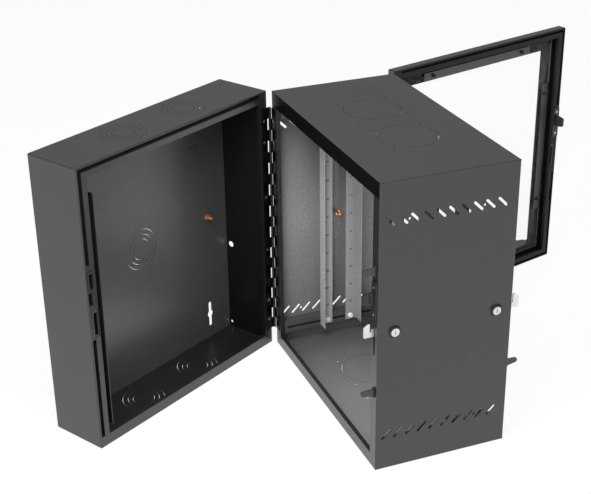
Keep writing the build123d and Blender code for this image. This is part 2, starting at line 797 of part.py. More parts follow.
def pan_stud():
    """Grounding stud through the pan's back with its welded flange."""
    stud = rod_y(stud_radius, stud_x, (-stud_length, 0), 0)
    flange = rod_y(stud_flange_radius, stud_x, (-sheet, -sheet - stud_flange), 0)
    return stud + flange


def pan_stud_nut():
    """Nut on the pan's grounding stud."""
    y = -sheet - stud_flange
    nut = hex_y(stud_nut_across, stud_x, (y, y - stud_nut_thick), 0)
    return nut - rod_y(stud_radius + stud_nut_clearance, stud_x, (y + 1, y - stud_nut_thick - 1), 0)


def centre_stud():
    """Grounding stud on the inside of the hinge side sheet."""
    wall = half_w - sheet
    y = centre_mid + stud_centre_y
    return rod_x(stud_radius, (wall - stud_length, wall), y, 0) + rod_x(stud_flange_radius, (wall - stud_flange, wall), y, 0)


def centre_stud_nut():
    """Nut on the centre section's grounding stud."""
    x = half_w - sheet - stud_flange
    y = centre_mid + stud_centre_y
    nut = hex_x(stud_nut_across, (x - stud_nut_thick, x), y, 0)
    return nut - rod_x(stud_radius + stud_nut_clearance, (x - stud_nut_thick - 1, x + 1), y, 0)


def door_frame():
    """Folded door frame: face with the window opening, four walls and the rim."""
    skin = block((-half_w, half_w), (door_face, door_rim), (-half_h, half_h))
    edges = skin.edges().filter_by(Axis.Y) + skin.faces().sort_by(Axis.Y)[0].edges()
    edges += skin.faces().sort_by(Axis.Y)[-1].edges()
    skin = fillet(edges, bend_radius)
    inside = (-half_w + sheet, half_w - sheet)
    body = skin - block(inside, (door_face + sheet, door_rim + 1), (-half_h + sheet, half_h - sheet))
    window_x = (-half_w + window_margin_x, half_w - window_margin_x)
    window_z = (-half_h + window_margin_z, half_h - window_margin_z)
    body -= block(window_x, (door_face - 1, door_face + 2 * sheet), window_z)
    body += rim(door_rim, -1, door_flange_width, door_groove_width, door_groove_depth, (door_flat,), False) & skin
    screw = catch_screw_radius + catch_screw_clearance
    for z in catch_screw_rows():
        body -= rod_y(screw, catch_x, (door_rim + 1, door_rim - 2 * sheet), z)
    return body - hinge_screw_holes(door_rim)


def clamp_places():
    """Middle and direction of each clamp strip on the inside of the door's face."""
    x = half_w - clamp_inset
    z = half_h - clamp_inset
    return {"top": ((0, z), "x"), "bottom": ((0, -z), "x"), "lock": ((-x, 0), "z"), "hinge": ((x, 0), "z")}


def stud_places(middle, along):
    """The two stud places of one clamp strip."""
    step = clamp_stud_spacing / 2
    if along == "x":
        return [(middle[0] - step, middle[1]), (middle[0] + step, middle[1])]
    return [(middle[0], middle[1] - step), (middle[0], middle[1] + step)]


def clamp_strip(middle, along):
    """Flat strip that presses the window pane against the door's face."""
    seat = door_face + sheet + pane_thick
    half_x = (clamp_length if along == "x" else clamp_width) / 2
    half_z = (clamp_width if along == "x" else clamp_length) / 2
    x = (middle[0] - half_x, middle[0] + half_x)
    body = block(x, (seat, seat + clamp_thick), (middle[1] - half_z, middle[1] + half_z))
    for place in stud_places(middle, along):
        hole = clamp_stud_radius + clamp_hole_clearance
        body -= rod_y(hole, place[0], (seat - 1, seat + clamp_thick + 1), place[1])
    return body


def window_pane():
    """Clear pane behind the window opening, with holes for the clamp studs."""
    seat = door_face + sheet
    x = (-half_w + pane_margin, half_w - pane_margin)
    body = block(x, (seat, seat + pane_thick), (-half_h + pane_margin, half_h - pane_margin))
    for middle, along in clamp_places().values():
        for place in stud_places(middle, along):
            hole = clamp_stud_radius + clamp_hole_clearance
            body -= rod_y(hole, place[0], (seat - 1, seat + pane_thick + 1), place[1])
    return body


def window_fasteners():
    """Weld studs on the door's face and the nuts on them."""
    root = door_face + sheet
    seat = root + pane_thick + clamp_thick
    studs = []
    nuts = []
    for middle, along in clamp_places().values():
        for place in stud_places(middle, along):
            studs.append(rod_y(clamp_stud_radius, place[0], (root, root + clamp_stud_length), place[1]))
            nut = hex_y(clamp_nut_across, place[0], (seat + clamp_nut_thick, seat), place[1])
            bore = clamp_stud_radius + thread_clearance
            nuts.append(nut - rod_y(bore, place[0], (seat - 1, seat + clamp_nut_thick + 1), place[1]))
    return studs, nuts


def write(name, shapes, place):
    """Swing a node's solids to their rest place and write them."""
    if not isinstance(shapes, list):
        shapes = [shapes]
    moved = [place(solid) for shape in shapes for solid in shape.solids()]
    export_step(moved[0] if len(moved) == 1 else Compound(children=moved), f"parts/{name}.step")


def build_pan():
    for name, shape in pan_sheets().items():
        write(name, shape, keep_shut)
    write("rear_hinge_pan_leaf", hinge_leaf(rear_hinge_y, 1, 0), keep_shut)
    write("rear_hinge_pin", hinge_pin(rear_hinge_y), keep_shut)
    write("rear_hinge_pan_screws", hinge_screws(rear_hinge_y, 1), keep_shut)
    write("pan_strike_plate", strike(pan_rim, 1, pan_flange_width), keep_shut)
    write("pan_catch_socket", catch_socket(pan_rim, -1), keep_shut)
    write("pan_ground_stud", pan_stud(), keep_shut)
    write("pan_ground_nut", pan_stud_nut(), keep_shut)


def build_centre():
    write("centre_top_panel", centre_lid(1), swing_centre)
    write("centre_floor_panel", centre_lid(-1), swing_centre)
    write("centre_lock_side_panel", centre_side(-1) - lock_side_cuts(), swing_centre)
    holes = hinge_screw_holes(centre_rear) + hinge_screw_holes(centre_front)
    write("centre_hinge_side_panel", centre_side(1) - holes, swing_centre)
    for side, side_name in ((-1, "lock_side"), (1, "hinge_side")):
        write(f"rack_rail_front_{side_name}", rail(side, -1), swing_centre)
        write(f"rack_rail_rear_{side_name}", rail(side, 1), swing_centre)
        write(f"rail_track_top_{side_name}", track(side, 1), swing_centre)
        write(f"rail_track_bottom_{side_name}", track(side, -1), swing_centre)
    bolts, nuts = rail_fasteners()
    write("rail_bolts", bolts, swing_centre)
    write("rail_nuts", nuts, swing_centre)
    write("rear_hinge_centre_leaf", hinge_leaf(rear_hinge_y, -1, 1), swing_centre)
    write("front_hinge_centre_leaf", hinge_leaf(front_hinge_y, 1, 0), swing_centre)
    write("front_hinge_pin", hinge_pin(front_hinge_y), swing_centre)
    screws = hinge_screws(rear_hinge_y, -1) + hinge_screws(front_hinge_y, 1)
    write("centre_hinge_screws", screws, swing_centre)
    write("guide_fingers_rear", fingers(1), swing_centre)
    write("guide_fingers_front", fingers(-1), swing_centre)
    write("rear_catch", catch(centre_rear, 1), swing_centre)
    write("rear_catch_screws", catch_screws(centre_rear, 1), swing_centre)
    write("centre_catch_socket", catch_socket(centre_front, -1), swing_centre)
    for end, end_name in ((1, "rear"), (-1, "front")):
        write(f"{end_name}_lock_barrel", lock_barrel(end), swing_centre)
        write(f"{end_name}_lock_plug", lock_plug(end), swing_centre)
        write(f"{end_name}_lock_hook", lock_hook(end), swing_centre)
        write(f"{end_name}_hook_screw", hook_screw(end), swing_centre)
    write("lock_nuts", [lock_nut(1), lock_nut(-1)], swing_centre)
    write("centre_ground_stud", centre_stud(), swing_centre)
    write("centre_ground_nut", centre_stud_nut(), swing_centre)


def build_door():
    write("door_frame", door_frame(), swing_door)
    write("window_pane", window_pane(), swing_door)
    for name, (middle, along) in clamp_places().items():
        write(f"window_clamp_{name}", clamp_strip(middle, along), swing_door)
    studs, nuts = window_fasteners()
    write("window_studs", studs, swing_door)
    write("window_nuts", nuts, swing_door)
    write("front_hinge_door_leaf", hinge_leaf(front_hinge_y, -1, 1), swing_door)
    write("front_hinge_door_screws", hinge_screws(front_hinge_y, -1), swing_door)
    write("door_strike_plate", strike(door_rim, -1, door_flange_width), swing_door)
    write("door_catch", catch(door_rim, 1), swing_door)
    write("door_catch_screws", catch_screws(door_rim, 1), swing_door)


os.makedirs("parts", exist_ok=True)
build_pan()
build_centre()
build_door()
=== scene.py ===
import math
from typing import NamedTuple

import bmesh
import bpy
from mathutils import Matrix, Vector


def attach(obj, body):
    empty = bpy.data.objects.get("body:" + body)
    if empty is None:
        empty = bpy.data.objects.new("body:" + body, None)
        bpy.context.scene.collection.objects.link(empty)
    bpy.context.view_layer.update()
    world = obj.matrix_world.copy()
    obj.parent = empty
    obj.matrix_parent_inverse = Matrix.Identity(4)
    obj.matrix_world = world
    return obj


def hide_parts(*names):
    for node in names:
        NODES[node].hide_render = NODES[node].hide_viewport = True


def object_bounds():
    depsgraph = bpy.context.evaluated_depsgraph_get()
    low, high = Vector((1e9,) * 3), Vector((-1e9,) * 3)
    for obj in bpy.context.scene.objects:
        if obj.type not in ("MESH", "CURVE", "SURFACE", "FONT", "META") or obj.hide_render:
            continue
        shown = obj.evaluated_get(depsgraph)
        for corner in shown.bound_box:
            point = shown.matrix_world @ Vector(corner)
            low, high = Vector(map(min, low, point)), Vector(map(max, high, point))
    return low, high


bl_info = {
    "name": "Swing-out network cabinet",
    "version": (1, 0, 0),
    "blender": (4, 5, 0),
    "location": "View3D > Sidebar > Cabinet",
    "description": "Finishes and small hardware of a wall mount network cabinet in three hinged sections",
    "category": "Object",
}

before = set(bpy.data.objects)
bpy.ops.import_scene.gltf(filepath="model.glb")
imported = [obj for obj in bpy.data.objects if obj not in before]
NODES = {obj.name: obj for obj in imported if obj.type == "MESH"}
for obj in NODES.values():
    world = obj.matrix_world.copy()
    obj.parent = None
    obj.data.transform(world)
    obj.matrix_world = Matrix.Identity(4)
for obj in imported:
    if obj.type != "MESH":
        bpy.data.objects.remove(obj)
cad_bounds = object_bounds()

# Ways that hold with the cabinet shut
TO_HINGES = Vector((1.0, 0.0, 0.0))
TO_LOCKS = Vector((-1.0, 0.0, 0.0))
TO_WALL = Vector((0.0, 1.0, 0.0))
TO_ROOM = Vector((0.0, -1.0, 0.0))
UP = Vector((0.0, 0.0, 1.0))

# The axes of the piano hinges with the cabinet shut, and how far the sections stand open
REAR_AXIS = Vector((0.2765, -0.133, 0.0))
FRONT_AXIS_SHUT = Vector((0.2765, -0.423, 0.0))
CENTRE_OPEN = math.radians(60)
DOOR_OPEN = math.radians(105)

# Sheets, in metres as all sizes here: half the width, the thickness, the centre's rear rim
HALF_WIDTH = 0.271
SHEET = 0.0015
REAR_RIM_INSIDE = -0.148

# Hinge screws: radius and length of head and shank, and their places
HINGE_SCREW_HEAD = (0.0036, 0.001)
HINGE_SCREW_SHANK = (0.0019, 0.007)
HINGE_SCREW_X = 0.260
HINGE_SCREW_ROWS = (0.0635, 0.1905, 0.239)
HINGE_SEAT = 0.0018

# Catch screws: radius and length of head and shank, and their places
CATCH_SCREW_HEAD = (0.003, 0.001)
CATCH_SCREW_SHANK = (0.0016, 0.009)
CATCH_SCREW_X = -0.2585
CATCH_SCREW_ROWS = (0.03825, 0.09375)
REAR_CATCH_SEAT = -0.1325
DOOR_CATCH_SEAT = -0.4225

# Screw outline, in shares of the shank's radius and length and the head's radius and height
TIP_RADIUS = 0.6
TIP_START = 0.92
HEAD_EDGE = 0.4
SHOULDER = 0.82
CROWN_RADIUS = 0.45
RECESS_ARM = 1.1
RECESS_BLADE = 0.26

# Ground studs
STUD_X = 0.207
CENTRE_STUD_Y = -0.285
STUD_RADIUS = 0.003
STUD_LENGTH = 0.018
STUD_FLANGE_RADIUS = 0.0065
STUD_FLANGE = 0.0015
STUD_FLANGE_EDGE = 0.00105
STUD_FLANGE_BEVEL = 0.0005

# Window studs, two along each bar of the door
WINDOW_STUD_ROW = 0.141
WINDOW_STUD_X = 0.231
WINDOW_STUD_Z = 0.2648
WINDOW_STUD_ROOT = -0.4475
WINDOW_STUD_RADIUS = 0.002
WINDOW_STUD_LENGTH = 0.012

# Sides of a turned shape
ROUND_SIDES = 24

# Thread: sides of the rod, rows in one turn, and the depths of groove and blunt end in pitches
THREAD_SIDES = 18
THREAD_ROWS = 6
THREAD_DEPTH = 0.3
THREAD_END = 0.35

# Powder coat: cloud in patches to a metre, mottle and spots as shares of the grain, and shades
CLOUD = 9.0
MOTTLE = 0.7
SPOT = 0.55
SPOT_LEVEL = 0.62
SPOT_GAIN = 3.2
GRIT = (0.38, 0.62)
GRIT_SHADE = 0.6
COAT_SHADES = (0.86, 1.14)
COAT_SHEEN = 0.14
COAT_BUMP = (0.5, 0.0004)
COAT_SPECULAR = 0.9
COAT_SPECK = 0.35
FINE_GRAIN = 1.6
FINE_SPECK = 0.06
CLAMP_SPECK = 0.1

# Painted light on inner faces: places along them, and how many times the painted light's colour they have
# there
PALE_HALF_HEIGHT = 0.3
WALL_GAINS = ((0.0, 0.8), (0.5, 1.3), (0.75, 0.8), (0.95, 0.2))
FLOOR_GAINS = ((0.0, 1.4), (0.5, 1.2), (1.0, 0.5))
BACK_GAINS = ((0.0, 2.1), (0.5, 1.7), (1.0, 1.8))

# Painted shade on faces in shade, darker and less glossy: their shades and their gleam at a depth of 1
PAINTED_SHADE_GAINS = (0.8, 1.2)
PAINTED_SHADE_SPECULAR = 0.2
# How light the painted shade leaves each sheet's chosen faces
TOP_DEPTH = 0.28
HINGE_SIDE_DEPTH = 0.55
DOOR_DEPTH = 0.9

# A face looks along a way when the cosine between its normal and that way is above this
FACING = 0.6

# Zinc and copper plate: spangle and wear in patches to a metre
SPANGLE = 260.0
WEAR = 35.0
PLATE_SHADES = (0.82, 1.08)
PLATE_SHEEN = 0.16
PLATE_BUMP = (0.12, 0.0002)

# Mouldings: grain and cloud in patches to a metre
MOULDING_GRAIN = 700.0
MOULDING_CLOUD = 40.0
MOULDING_SHADES = (0.8, 1.25)
MOULDING_SHEEN = 0.1
MOULDING_BUMP = (0.15, 0.0002)

# Acrylic: haze in patches to a metre
ACRYLIC_INDEX = 1.49
HAZE = 14.0
HAZE_ROUGHNESS = 0.06
HAZE_SHEEN = 0.04

# Lamps: place, target and width
MIDDLE = (0.3, -0.35, 0.0)
LEFT_LAMP = ((-2.6, -1.2, 1.4), MIDDLE, 2.0)
TOP_LAMP = ((0.2, -0.8, 2.6), MIDDLE, 2.4)
INNER_LAMP = ((-0.35, -0.55, 0.9), (0.35, -0.35, -0.1), 0.5)

# Camera, floor and background
SENSOR_WIDTH = 36.0
CAMERA_REACH = 100.0
FLOOR_HALF = 12.0
FLOOR_COLOUR = (0.9, 0.9, 0.9)
FLOOR_GLOW = 0.93
WHITE = (1.0, 1.0, 1.0, 1.0)


def turn_about(axis, angle):
    """A turn about an upright axis."""
    return Matrix.Translation(axis) @ Matrix.Rotation(angle, 4, "Z") @ Matrix.Translation(-axis)


CENTRE_PLACE = turn_about(REAR_AXIS, CENTRE_OPEN)
DOOR_PLACE = CENTRE_PLACE @ turn_about(FRONT_AXIS_SHUT, DOOR_OPEN)

# The same ways, with the sections open
CENTRE_TO_HINGES = CENTRE_PLACE.to_3x3() @ TO_HINGES
CENTRE_TO_REAR = CENTRE_PLACE.to_3x3() @ TO_WALL
DOOR_TO_REAR = DOOR_PLACE.to_3x3() @ TO_WALL


class PaintedLightFaces(NamedTuple):
    """Faces that look along way, with painted light: gains of a colour between low and high along an axis.

    The limit, where they have one, is another way and how far along it they reach.
    """

    way: Vector
    axis: Vector
    low: float
    high: float
    colour: Vector
    gains: tuple
    limit: tuple = None


class PaintedShadeFaces(NamedTuple):
    """Faces that look along way with painted shade: they gleam less, and are darker the lower their depth
    is.
    """

    way: Vector
    depth: float


class Signal:
    """A node's output that can be used in sums, so that shader maths reads as an expression."""

    def __init__(self, tree, socket):
        self.tree = tree
        self.socket = socket

    def maths(self, operation, first, second):
        made = self.tree.nodes.new("ShaderNodeMath")
        made.operation = operation
        for socket, value in zip(made.inputs, (first, second)):
            if isinstance(value, Signal):
                self.tree.links.new(value.socket, socket)
            else:
                socket.default_value = value
        return Signal(self.tree, made.outputs[0])

    def __add__(self, other):
        return self.maths("ADD", self, other)

    def __mul__(self, other):
        return self.maths("MULTIPLY", self, other)

    def __gt__(self, other):
        return self.maths("GREATER_THAN", self, other)

    def __lt__(self, other):
        return self.maths("LESS_THAN", self, other)

    def __or__(self, other):
        """The larger of the two, which for masks is either."""
        return self.maths("MAXIMUM", self, other)

    __radd__ = __add__
    __rmul__ = __mul__
    __ror__ = __or__


class NodeBook:
    """Writes nodes into one tree."""

    def __init__(self, tree):
        self.tree = tree
        self.tree.nodes.clear()

    def node(self, kind, settings=None, sockets=None, output=0):
        """Adds a node of one kind, with its settings first and then its sockets."""
        made = self.tree.nodes.new(kind)
        for key, value in (settings or {}).items():
            if key == "stops":
                self.set_stops(made.color_ramp, value)
            else:
                setattr(made, key, value)
        for key, value in (sockets or {}).items():
            if isinstance(value, Signal):
                self.tree.links.new(value.socket, made.inputs[key])
            else:
                made.inputs[key].default_value = value
        return Signal(self.tree, made.outputs[output]) if made.outputs else None

    @staticmethod
    def set_stops(ramp, stops):
        while len(ramp.elements) < len(stops):
            ramp.elements.new(0.5)
        for element, (place, colour) in zip(ramp.elements, stops):
            element.position = place
            element.color = colour

    def noise(self, place, scale, detail, rough=0.5):
        return self.node("ShaderNodeTexNoise", None, {
            "Vector": place, "Scale": scale, "Detail": detail, "Roughness": rough})

    def dot(self, first, way):
        return self.node(
            "ShaderNodeVectorMath", {"operation": "DOT_PRODUCT"}, {0: first, 1: tuple(way)}, "Value")

    def spread(self, value, low, high):
        """The value's place between low and high, from 0 to 1."""
        return self.node("ShaderNodeMapRange", None, {"Value": value, "From Min": low, "From Max": high})

    def between(self, factor, first, second):
        """A colour between two colours."""
        return self.node("ShaderNodeMix", {"data_type": "RGBA"}, {0: factor, 6: first, 7: second}, 2)

    def shades(self, factor, colour, gains):
        """A colour that goes from one shade of itself to another."""
        return self.between(factor, rgba(colour, gains[0]), rgba(colour, gains[1]))

    def ramp(self, factor, colour, gains, share):
        """A colour times a share and times the gains, each of which has its place."""
        stops = [(place, rgba(colour, gain * share)) for place, gain in gains]
        return self.node("ShaderNodeValToRGB", {"stops": stops}, {"Fac": factor})

    def bump(self, height, strength, distance):
        return self.node("ShaderNodeBump", None, {
            "Strength": strength, "Distance": distance, "Height": height})

    def principled(self, sockets):
        return self.node("ShaderNodeBsdfPrincipled", None, sockets)

    def close(self, surface):
        self.node("ShaderNodeOutputMaterial", None, {"Surface": surface})


def new_finish(name):
    """An empty material and the book that writes its nodes."""
    material = bpy.data.materials.new(name)
    material.use_nodes = True
    return material, NodeBook(material.node_tree)


def rgba(colour, gain=1.0):
    return (colour[0] * gain, colour[1] * gain, colour[2] * gain, 1.0)


def around(signal, middle, spread):
    """A value that wanders about its middle as the signal goes from 0 to 1."""
    return signal * spread + (middle - spread / 2)


def painted_light_tint(book, place, normal, grain, tint, pale):
    """The tint, with the mottled painted light of the pale faces laid over it."""
    mottle = book.noise(place, grain * MOTTLE, detail=2.0, rough=0.7)
    along = book.spread(book.dot(place, pale.axis), pale.low, pale.high)
    # The ramps hold the painted falloff of light; the mottle between them is grain
    dark = book.ramp(along, pale.colour, pale.gains, GRIT_SHADE)
    light = book.ramp(along, pale.colour, pale.gains, 1.0)
    chosen = book.dot(normal, pale.way) > FACING
    if pale.limit:
        limit_way, reach = pale.limit
        chosen = chosen * (book.dot(place, limit_way) < reach)
    return book.between(chosen, tint, book.between(book.spread(mottle, *GRIT), dark, light))


def powder_coat(name, colour, roughness, grain, speck, pale=None, painted_shade=None):
    """Textured powder coat: a fine orange peel, small pale grains and slow changes of sheen, with painted
    light on some faces and painted shade on others when asked.
    """
    material, book = new_finish(name)
    place = book.node("ShaderNodeTexCoord", output="Object")
    normal = book.node("ShaderNodeTexCoord", output="Normal")
    cloud = book.noise(place, CLOUD, detail=3.0)
    peel = book.noise(place, grain, detail=2.0, rough=0.6)
    spots = (book.noise(place, grain * SPOT, detail=1.0) > SPOT_LEVEL) * speck
    tint = book.between(spots, book.shades(cloud, colour, COAT_SHADES), rgba(colour, SPOT_GAIN))
    # Painted light: the chosen faces get a paler colour that falls off along an axis
    if pale:
        tint = painted_light_tint(book, place, normal, grain, tint, pale)
    coat = {
        "Base Color": tint, "Roughness": around(cloud, roughness, COAT_SHEEN),
        "Normal": book.bump(peel, *COAT_BUMP), "Specular IOR Level": COAT_SPECULAR}
    surface = book.principled(coat)
    # Painted shade: the chosen faces get a darker colour and less gleam
    if painted_shade:
        shade = book.shades(cloud, colour, [gain * painted_shade.depth for gain in PAINTED_SHADE_GAINS])
        matt = book.principled(
            {**coat, "Base Color": shade, "Specular IOR Level": PAINTED_SHADE_SPECULAR * painted_shade.depth})
        chosen = book.dot(normal, painted_shade.way) > FACING
        surface = book.node("ShaderNodeMixShader", None, {0: chosen, 1: surface, 2: matt})
    book.close(surface)
    return material


def zinc(name, colour, roughness, metallic=1.0):
    """Zinc or copper plate: faint spangle in colour and sheen."""
    material, book = new_finish(name)
    place = book.node("ShaderNodeTexCoord", output="Object")
    spangle = book.noise(place, SPANGLE, detail=2.0)
    wear = book.noise(place, WEAR, detail=4.0)
    book.close(book.principled({
        "Base Color": book.shades(wear, colour, PLATE_SHADES), "Metallic": metallic,
        "Roughness": around(spangle, roughness, PLATE_SHEEN), "Normal": book.bump(spangle, *PLATE_BUMP)}))
    return material


def moulding(name, colour, roughness, coat):
    """Moulded plastic with a faint grain."""
    material, book = new_finish(name)
    place = book.node("ShaderNodeTexCoord", output="Object")
    grain = book.noise(place, MOULDING_GRAIN, detail=1.0)
    cloud = book.noise(place, MOULDING_CLOUD, detail=2.0)
    book.close(book.principled({
        "Base Color": book.shades(cloud, colour, MOULDING_SHADES), "Coat Weight": coat,
        "Roughness": around(cloud, roughness, MOULDING_SHEEN),
        "Normal": book.bump(grain, *MOULDING_BUMP)}))
    return material


def clear_sheet(name, tint, clearness):
    """Clear acrylic: see-through, with a reflection that grows at low angles."""
    material, book = new_finish(name)
    place = book.node("ShaderNodeTexCoord", output="Object")
    haze = book.noise(place, HAZE, detail=3.0)
    edge = book.node("ShaderNodeFresnel", None, {"IOR": ACRYLIC_INDEX})
    through = book.node("ShaderNodeBsdfTransparent", None, {"Color": rgba(tint)})
    gloss = book.principled({
        "Base Color": rgba(tint), "Metallic": 0.0, "Roughness": around(haze, HAZE_ROUGHNESS, HAZE_SHEEN)})
    factor = edge * (1.0 - clearness)
    book.close(book.node("ShaderNodeMixShader", None, {0: factor, 1: through, 2: gloss}))
    return material


class CabinetFinish(bpy.types.PropertyGroup):
    """Colours and sheens of the cabinet's finishes, with the painted light and painted shade of some faces.
    """

    coat: bpy.props.FloatVectorProperty(
        name="Powder coat", description="Colour of the coated sheet", subtype="COLOR",
        default=(0.009, 0.0091, 0.0094))
    # Painted light inside the centre section, given as a colour of its coat
    inner_painted_light: bpy.props.FloatVectorProperty(
        name="Inner painted light", description="Colour of the coat inside the centre section", subtype="COLOR",
        default=(0.17, 0.171, 0.174))
    # Painted light on the inside of the pan's back, given as a colour of its coat
    pan_back_painted_light: bpy.props.FloatVectorProperty(
        name="Pan back painted light", description="Colour of the coat on the inside of the pan's back",
        subtype="COLOR", default=(0.032, 0.0322, 0.033))
    rail_coat: bpy.props.FloatVectorProperty(
        name="Rear rail coat", description="Colour of the two rear rack rails", subtype="COLOR",
        default=(0.34, 0.342, 0.346))
    # The front rails' coat is the rear rails' coat darkened as painted shade
    front_rail_coat_painted_shade: bpy.props.FloatVectorProperty(
        name="Front rail coat with painted shade", description="Colour of the two front rack rails", subtype="COLOR",
        default=(0.272, 0.2736, 0.2768))
    track_coat: bpy.props.FloatVectorProperty(
        name="Track coat", description="Colour of the slotted rail tracks", subtype="COLOR",
        default=(0.05, 0.051, 0.053))
    clamp_coat: bpy.props.FloatVectorProperty(
        name="Clamp coat", description="Colour of the strips that clamp the pane", subtype="COLOR",
        default=(0.026, 0.0265, 0.027))
    strike_coat: bpy.props.FloatVectorProperty(
        name="Strike coat", description="Colour of the strike plates", subtype="COLOR",
        default=(0.035, 0.0355, 0.037))
    coat_roughness: bpy.props.FloatProperty(
        name="Coat roughness", description="How matt the powder coat is", default=0.3, subtype="FACTOR")
    rail_roughness: bpy.props.FloatProperty(
        name="Rail roughness", description="How matt the rails and tracks are", default=0.5,
        subtype="FACTOR")
    clamp_roughness: bpy.props.FloatProperty(
        name="Clamp roughness", description="How matt the clamp strips are", default=0.45,
        subtype="FACTOR")
    coat_grain: bpy.props.FloatProperty(
        name="Coat grain", description="Grains of the powder coat in one metre", default=560.0)
    zinc: bpy.props.FloatVectorProperty(
        name="Zinc", description="Colour of the bright zinc plate", subtype="COLOR",
        default=(0.72, 0.73, 0.74))
    dark_zinc: bpy.props.FloatVectorProperty(
        name="Dark zinc", description="Colour of the darkened zinc plate", subtype="COLOR",
        default=(0.05, 0.05, 0.052))
    pale_zinc: bpy.props.FloatVectorProperty(
        name="Pale zinc", description="Colour of the lock hooks and nuts", subtype="COLOR",
        default=(0.86, 0.86, 0.85))
    lock_face: bpy.props.FloatVectorProperty(
        name="Lock face", description="Colour of the lock plugs", subtype="COLOR",
        default=(0.78, 0.79, 0.82))
    bezel: bpy.props.FloatVectorProperty(
        name="Bezel", description="Colour of the lock bezels", subtype="COLOR",
        default=(0.1, 0.1, 0.105))
    copper: bpy.props.FloatVectorProperty(
        name="Copper", description="Colour of the ground studs", subtype="COLOR",
        default=(0.95, 0.42, 0.2))
    bolt: bpy.props.FloatVectorProperty(
        name="Bolt", description="Colour of the rail bolts", subtype="COLOR",
        default=(0.8, 0.8, 0.78))
    plastic: bpy.props.FloatVectorProperty(
        name="Moulding", description="Colour of the moulded catches", subtype="COLOR",
        default=(0.012, 0.012, 0.013))
    pane: bpy.props.FloatVectorProperty(
        name="Pane", description="Tint of the clear pane", subtype="COLOR", default=(1.0, 1.0, 1.0))
    pane_clearness: bpy.props.FloatProperty(
        name="Pane clearness", description="How much of its reflection the pane loses", default=0.88,
        subtype="FACTOR")


class CabinetHardware(bpy.types.PropertyGroup):
    """Sizes of the small hardware."""

    recess_depth: bpy.props.FloatProperty(
        name="Recess depth", description="Depth of the cross recess in a catch screw's head",
        default=0.0012, unit="LENGTH", subtype="DISTANCE")
    thread_pitch: bpy.props.FloatProperty(
        name="Thread pitch", description="Pitch of the threads of the studs", default=0.001,
        unit="LENGTH", subtype="DISTANCE")


class CabinetStudio(bpy.types.PropertyGroup):
    """Camera, floor and lamps."""

    camera_place: bpy.props.FloatVectorProperty(
        name="Camera place", description="Where the camera stands", subtype="TRANSLATION",
        unit="LENGTH", default=(-1.6771, -1.7728, 1.1768))
    camera_heading: bpy.props.FloatProperty(
        name="Heading", description="Compass angle of the view from +Y towards +X", subtype="ANGLE",
        default=math.radians(51.13))
    camera_dip: bpy.props.FloatProperty(
        name="Dip", description="How far the camera looks down", subtype="ANGLE",
        default=math.radians(25.95))
    camera_roll: bpy.props.FloatProperty(
        name="Roll", description="Roll of the camera about its line of sight", subtype="ANGLE",
        default=math.radians(-0.83))
    camera_lens: bpy.props.FloatProperty(
        name="Lens", description="Focal length on a 36 mm wide sensor, in millimetres", default=77.29)
    floor_drop: bpy.props.FloatProperty(
        name="Floor drop", description="Gap between the cabinet and the floor", default=0.001,
        unit="LENGTH", subtype="DISTANCE")
    sky: bpy.props.FloatProperty(
        name="Sky", description="Strength of the light from all round", default=0.4)
    key: bpy.props.FloatProperty(
        name="Key", description="Power of the lamp on the left", default=60.0)
    top: bpy.props.FloatProperty(
        name="Top", description="Power of the lamp overhead", default=30.0)
    inner: bpy.props.FloatProperty(
        name="Inner", description="Power of the lamp that looks into the open sections", default=16.0)


def add_object(name, data):
    made = bpy.data.objects.new(name, data)
    bpy.context.scene.collection.objects.link(made)
    return made


def nodes_that(start="", end=""):
    """Names of the CAD nodes with a given start and end."""
    return [name for name in NODES if name.startswith(start) and name.endswith(end)]


def dress(names, material):
    """Gives CAD nodes a finish."""
    for name in names:
        data = NODES[name].data
        data.materials.clear()
        data.materials.append(material)


def facing(place, way):
    """A place whose own Z axis looks along way."""
    return Matrix.Translation(place) @ way.to_track_quat("Z", "Y").to_matrix().to_4x4()


def mesh_from(shape, name):
    """The mesh of a finished shape, which is freed."""
    mesh = bpy.data.meshes.new(name)
    shape.to_mesh(mesh)
    shape.free()
    return mesh


def joined_mesh(name, parts):
    """One mesh out of several, each of which is taken out of the file."""
    shape = bmesh.new()
    for part in parts:
        shape.from_mesh(part)
        bpy.data.meshes.remove(part)
    return mesh_from(shape, name)


def turned_mesh(name, profile):
    """A closed profile of (radius, height) points turned about Z."""
    shape = bmesh.new()
    rings = []
    for radius, height in profile:
        if radius == 0.0:
            rings.append([shape.verts.new((0.0, 0.0, height))])
            continue
        turns = [math.tau * side / ROUND_SIDES for side in range(ROUND_SIDES)]
        rings.append([shape.verts.new((radius * math.cos(a), radius * math.sin(a), height)) for a in turns])
    for low, high in zip(rings, rings[1:]):
        for side in range(ROUND_SIDES):
            after = (side + 1) % ROUND_SIDES
            corners = [ring[place % len(ring)] for ring, place in (
                (low, side), (low, after), (high, after), (high, side))]
            shape.faces.new(list(dict.fromkeys(corners)))
    bmesh.ops.recalc_face_normals(shape, faces=shape.faces)
    return mesh_from(shape, name)


def cross_mesh(name, radius, height, depth):
    """Two crossed blades that cut a screw's recess, with their middle at the crown of its head."""
    shape = bmesh.new()
    arm, blade = radius * RECESS_ARM, radius * RECESS_BLADE
    for width, length in ((arm, blade), (blade, arm)):
        made = bmesh.ops.create_cube(shape, size=1.0)
        bmesh.ops.scale(shape, verts=made["verts"], vec=(width, length, 2 * depth))
        bmesh.ops.translate(shape, verts=made["verts"], vec=(0.0, 0.0, height))
    return mesh_from(shape, name)


